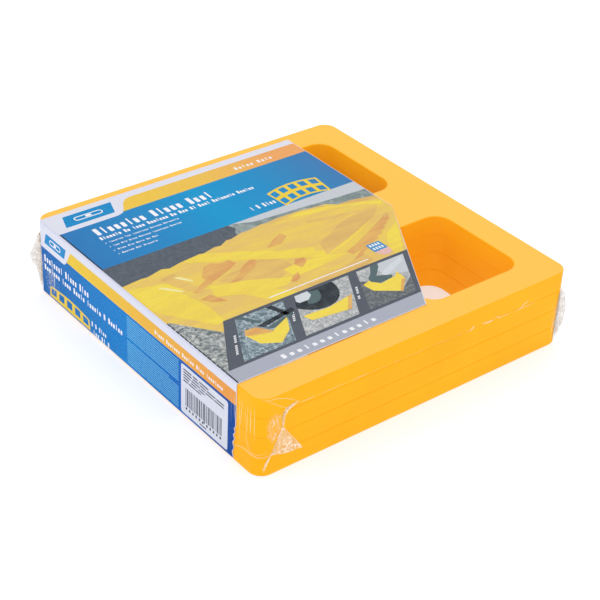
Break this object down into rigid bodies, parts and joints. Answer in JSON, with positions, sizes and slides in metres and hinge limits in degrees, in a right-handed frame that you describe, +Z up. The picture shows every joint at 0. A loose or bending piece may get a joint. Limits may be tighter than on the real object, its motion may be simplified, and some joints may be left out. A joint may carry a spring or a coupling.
{
  "type": "leveling block set",
  "caption": "Shrink-wrapped stack of square yellow leveling block caps with square peg windows, under a folded printed card with a barcode sticker.",
  "frame": {"origin": "centre of the footprint, on the surface that the pack rests on", "axes": "+Z up; -Y towards the card's narrow front panel; +X towards the plain side on the card's right when its print is read"},
  "size_m": [0.2176, 0.2182, 0.0494],
  "materials": {
    "cap_plastic": "satin",
    "printed_card": "gloss",
    "sticker_paper": "satin",
    "shrink_film": "gloss"
  },
  "bodies": {
    "wrap_base": {"film_lower": "shrink_film"},
    "first_cap": {"cap_1": "cap_plastic"},
    "second_cap": {"cap_2": "cap_plastic"},
    "third_cap": {"cap_3": "cap_plastic"},
    "fourth_cap": {"cap_4": "cap_plastic"},
    "label": {"label_card": "printed_card", "barcode_sticker": "sticker_paper"},
    "wrap_top": {"film_upper": "shrink_film"}
  },
  "joints": [
    {"name": "first_cap_lift", "type": "slide", "parent": "wrap_base", "child": "first_cap", "axis": [0, 0, 1], "range_m": [0, 0.06]},
    {"name": "second_cap_lift", "type": "slide", "parent": "first_cap", "child": "second_cap", "axis": [0, 0, 1], "range_m": [0, 0.05]},
    {"name": "third_cap_lift", "type": "slide", "parent": "second_cap", "child": "third_cap", "axis": [0, 0, 1], "range_m": [0, 0.05]},
    {"name": "fourth_cap_lift", "type": "slide", "parent": "third_cap", "child": "fourth_cap", "axis": [0, 0, 1], "range_m": [0, 0.05]},
    {"name": "label_lift", "type": "slide", "parent": "fourth_cap", "child": "label", "axis": [0, 0, 1], "range_m": [0, 0.07]},
    {"name": "wrap_top_lift", "type": "slide", "parent": "label", "child": "wrap_top", "axis": [0, 0, 1], "range_m": [0, 0.07]}
  ]
}
